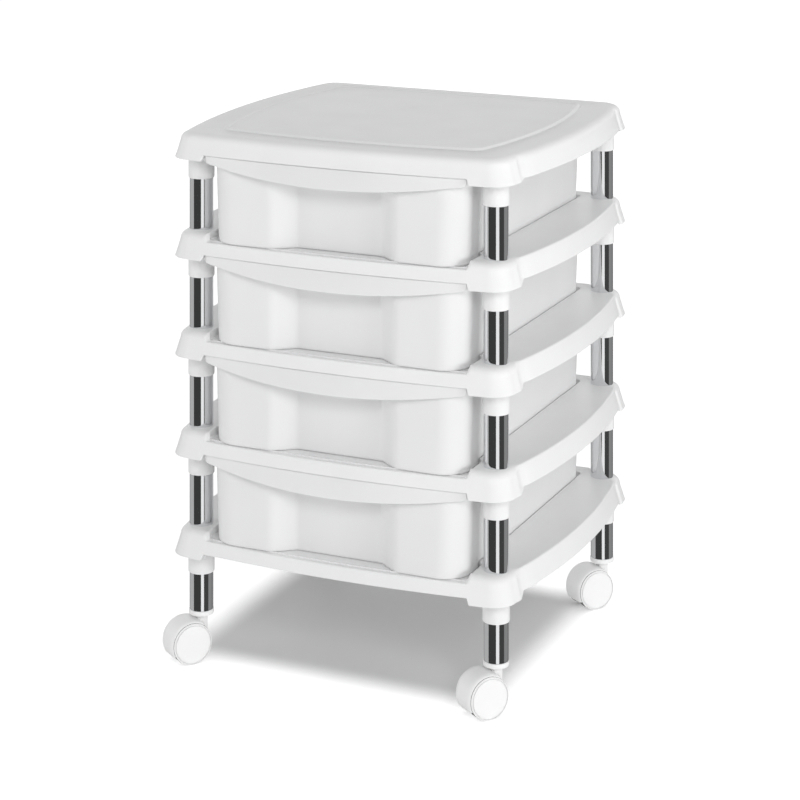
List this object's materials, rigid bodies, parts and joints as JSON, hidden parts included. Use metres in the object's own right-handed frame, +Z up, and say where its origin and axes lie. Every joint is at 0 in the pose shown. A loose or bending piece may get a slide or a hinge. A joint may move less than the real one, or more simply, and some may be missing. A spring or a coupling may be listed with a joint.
{
  "type": "drawer tower",
  "caption": "Free-standing plastic drawer tower on swivel casters: flared trays stacked on chromed posts, sliding drawers with crescent pull lips and a flat lid.",
  "frame": {"origin": "on the floor, under the middle of the tower's outer box with the drawers shut", "axes": "+Z up, -Y to the front where the drawers open, +X to the right seen from the front"},
  "size_m": [0.412, 0.3914, 0.5565],
  "materials": {
    "white_plastic": "moulded, satin gloss",
    "drawer_plastic": "moulded, semi-matt, slightly translucent",
    "caster_plastic": "moulded, satin gloss",
    "chrome": "bright chrome plating on thin steel tube",
    "steel": "plain turned steel"
  },
  "bodies": {
    "tower": {"top_cover": "white_plastic", "tray_1": "white_plastic", "tray_2": "white_plastic", "tray_3": "white_plastic", "tray_4": "white_plastic", "post_1_fl": "chrome", "post_1_fr": "chrome", "post_1_rl": "chrome", "post_1_rr": "chrome", "post_2_fl": "chrome", "post_2_fr": "chrome", "post_2_rl": "chrome", "post_2_rr": "chrome", "post_3_fl": "chrome", "post_3_fr": "chrome", "post_3_rl": "chrome", "post_3_rr": "chrome", "post_4_fl": "chrome", "post_4_fr": "chrome", "post_4_rl": "chrome", "post_4_rr": "chrome", "leg_fl": "chrome", "leg_fr": "chrome", "leg_rl": "chrome", "leg_rr": "chrome", "plug_fl": "caster_plastic", "plug_fr": "caster_plastic", "plug_rl": "caster_plastic", "plug_rr": "caster_plastic", "stem_fl": "steel", "stem_fr": "steel", "stem_rl": "steel", "stem_rr": "steel"},
    "drawer_1_body": {"drawer_1": "drawer_plastic"},
    "drawer_2_body": {"drawer_2": "drawer_plastic"},
    "drawer_3_body": {"drawer_3": "drawer_plastic"},
    "drawer_4_body": {"drawer_4": "drawer_plastic"},
    "caster_fl": {"hood_fl": "caster_plastic", "axle_fl": "steel"},
    "wheel_fl_a_body": {"wheel_fl_a": "caster_plastic"},
    "wheel_fl_b_body": {"wheel_fl_b": "caster_plastic"},
    "caster_fr": {"hood_fr": "caster_plastic", "axle_fr": "steel"},
    "wheel_fr_a_body": {"wheel_fr_a": "caster_plastic"},
    "wheel_fr_b_body": {"wheel_fr_b": "caster_plastic"},
    "caster_rl": {"hood_rl": "caster_plastic", "axle_rl": "steel"},
    "wheel_rl_a_body": {"wheel_rl_a": "caster_plastic"},
    "wheel_rl_b_body": {"wheel_rl_b": "caster_plastic"},
    "caster_rr": {"hood_rr": "caster_plastic", "axle_rr": "steel"},
    "wheel_rr_a_body": {"wheel_rr_a": "caster_plastic"},
    "wheel_rr_b_body": {"wheel_rr_b": "caster_plastic"}
  },
  "joints": [
    {"name": "drawer_1_slide", "type": "slide", "parent": "tower", "child": "drawer_1_body", "axis": [0, -1, 0], "range_m": [0, 0.23]},
    {"name": "drawer_2_slide", "type": "slide", "parent": "tower", "child": "drawer_2_body", "axis": [0, -1, 0], "range_m": [0, 0.23]},
    {"name": "drawer_3_slide", "type": "slide", "parent": "tower", "child": "drawer_3_body", "axis": [0, -1, 0], "range_m": [0, 0.23]},
    {"name": "drawer_4_slide", "type": "slide", "parent": "tower", "child": "drawer_4_body", "axis": [0, -1, 0], "range_m": [0, 0.23]},
    {"name": "caster_fl_swivel", "type": "hinge", "parent": "tower", "child": "caster_fl", "pos_m": [-0.1665, -0.14866, 0.047], "axis": [0, 0, 1], "continuous": true},
    {"name": "wheel_fl_a_spin", "type": "hinge", "parent": "caster_fl", "child": "wheel_fl_a_body", "pos_m": [-0.17635, -0.16127, 0.0215], "axis": [0.788, -0.6157, 0], "continuous": true},
    {"name": "wheel_fl_b_spin", "type": "hinge", "parent": "caster_fl", "child": "wheel_fl_b_body", "pos_m": [-0.17635, -0.16127, 0.0215], "axis": [0.788, -0.6157, 0], "continuous": true},
    {"name": "caster_fr_swivel", "type": "hinge", "parent": "tower", "child": "caster_fr", "pos_m": [0.1665, -0.14866, 0.047], "axis": [0, 0, 1], "continuous": true},
    {"name": "wheel_fr_a_spin", "type": "hinge", "parent": "caster_fr", "child": "wheel_fr_a_body", "pos_m": [0.15665, -0.16127, 0.0215], "axis": [0.788, -0.6157, 0], "continuous": true},
    {"name": "wheel_fr_b_spin", "type": "hinge", "parent": "caster_fr", "child": "wheel_fr_b_body", "pos_m": [0.15665, -0.16127, 0.0215], "axis": [0.788, -0.6157, 0], "continuous": true},
    {"name": "caster_rl_swivel", "type": "hinge", "parent": "tower", "child": "caster_rl", "pos_m": [-0.1665, 0.16634, 0.047], "axis": [0, 0, 1], "continuous": true},
    {"name": "wheel_rl_a_spin", "type": "hinge", "parent": "caster_rl", "child": "wheel_rl_a_body", "pos_m": [-0.17635, 0.15373, 0.0215], "axis": [0.788, -0.6157, 0], "continuous": true},
    {"name": "wheel_rl_b_spin", "type": "hinge", "parent": "caster_rl", "child": "wheel_rl_b_body", "pos_m": [-0.17635, 0.15373, 0.0215], "axis": [0.788, -0.6157, 0], "continuous": true},
    {"name": "caster_rr_swivel", "type": "hinge", "parent": "tower", "child": "caster_rr", "pos_m": [0.1665, 0.16634, 0.047], "axis": [0, 0, 1], "continuous": true},
    {"name": "wheel_rr_a_spin", "type": "hinge", "parent": "caster_rr", "child": "wheel_rr_a_body", "pos_m": [0.15665, 0.15373, 0.0215], "axis": [0.788, -0.6157, 0], "continuous": true},
    {"name": "wheel_rr_b_spin", "type": "hinge", "parent": "caster_rr", "child": "wheel_rr_b_body", "pos_m": [0.15665, 0.15373, 0.0215], "axis": [0.788, -0.6157, 0], "continuous": true}
  ]
}
